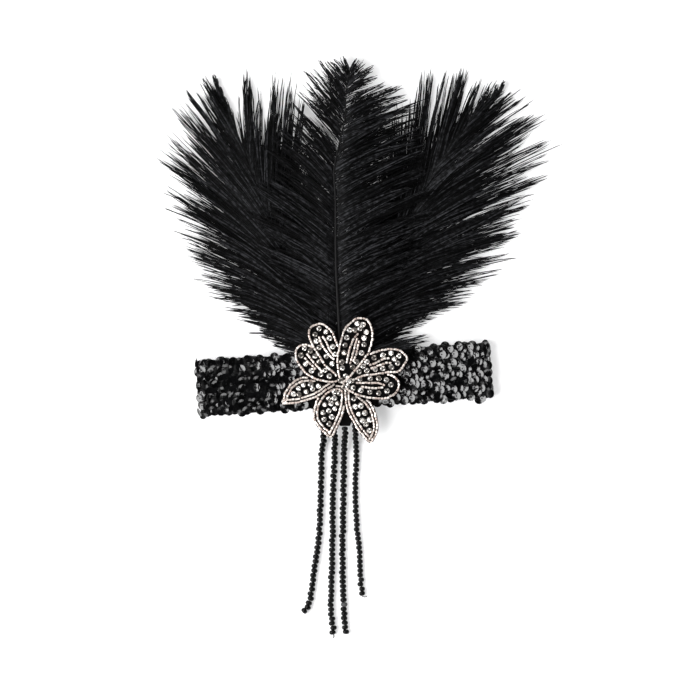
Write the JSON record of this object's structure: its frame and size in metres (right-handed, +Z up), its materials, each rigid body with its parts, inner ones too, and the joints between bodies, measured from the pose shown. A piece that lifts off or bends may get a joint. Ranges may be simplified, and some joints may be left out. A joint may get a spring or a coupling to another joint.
{
  "type": "feather headband",
  "caption": "stretch sequin headband laid flat, with a beadwork flower, ostrich plumes and hanging strings of beads",
  "frame": {"origin": "under the middle of the band, on the surface that the headband lies on", "axes": "+X along the band, +Y towards the tips of the plumes, +Z up, away from the surface, to the face of the flower"},
  "size_m": [0.2622, 0.3981, 0.0176],
  "materials": {
    "sequins": "overlapping glossy black sequins on stretch cloth",
    "felt": "black felt",
    "plume": "soft black ostrich plume",
    "beading": "silver and rose-ivory bugle beads with pewter stones",
    "beads": "glossy black round beads"
  },
  "bodies": {
    "root": {"sequin_band": "sequins", "felt_backing": "felt", "plume_left": "plume", "plume_right": "plume", "plume_centre": "plume", "petal_top": "beading", "petal_upper_left": "beading", "petal_upper_right": "beading", "petal_left": "beading", "petal_right": "beading", "petal_lower_left": "beading", "petal_lower_right": "beading", "petal_bottom": "beading", "bead_string_1": "beads", "bead_string_2": "beads", "bead_string_3": "beads", "bead_string_4": "beads"}
  },
  "joints": []
}
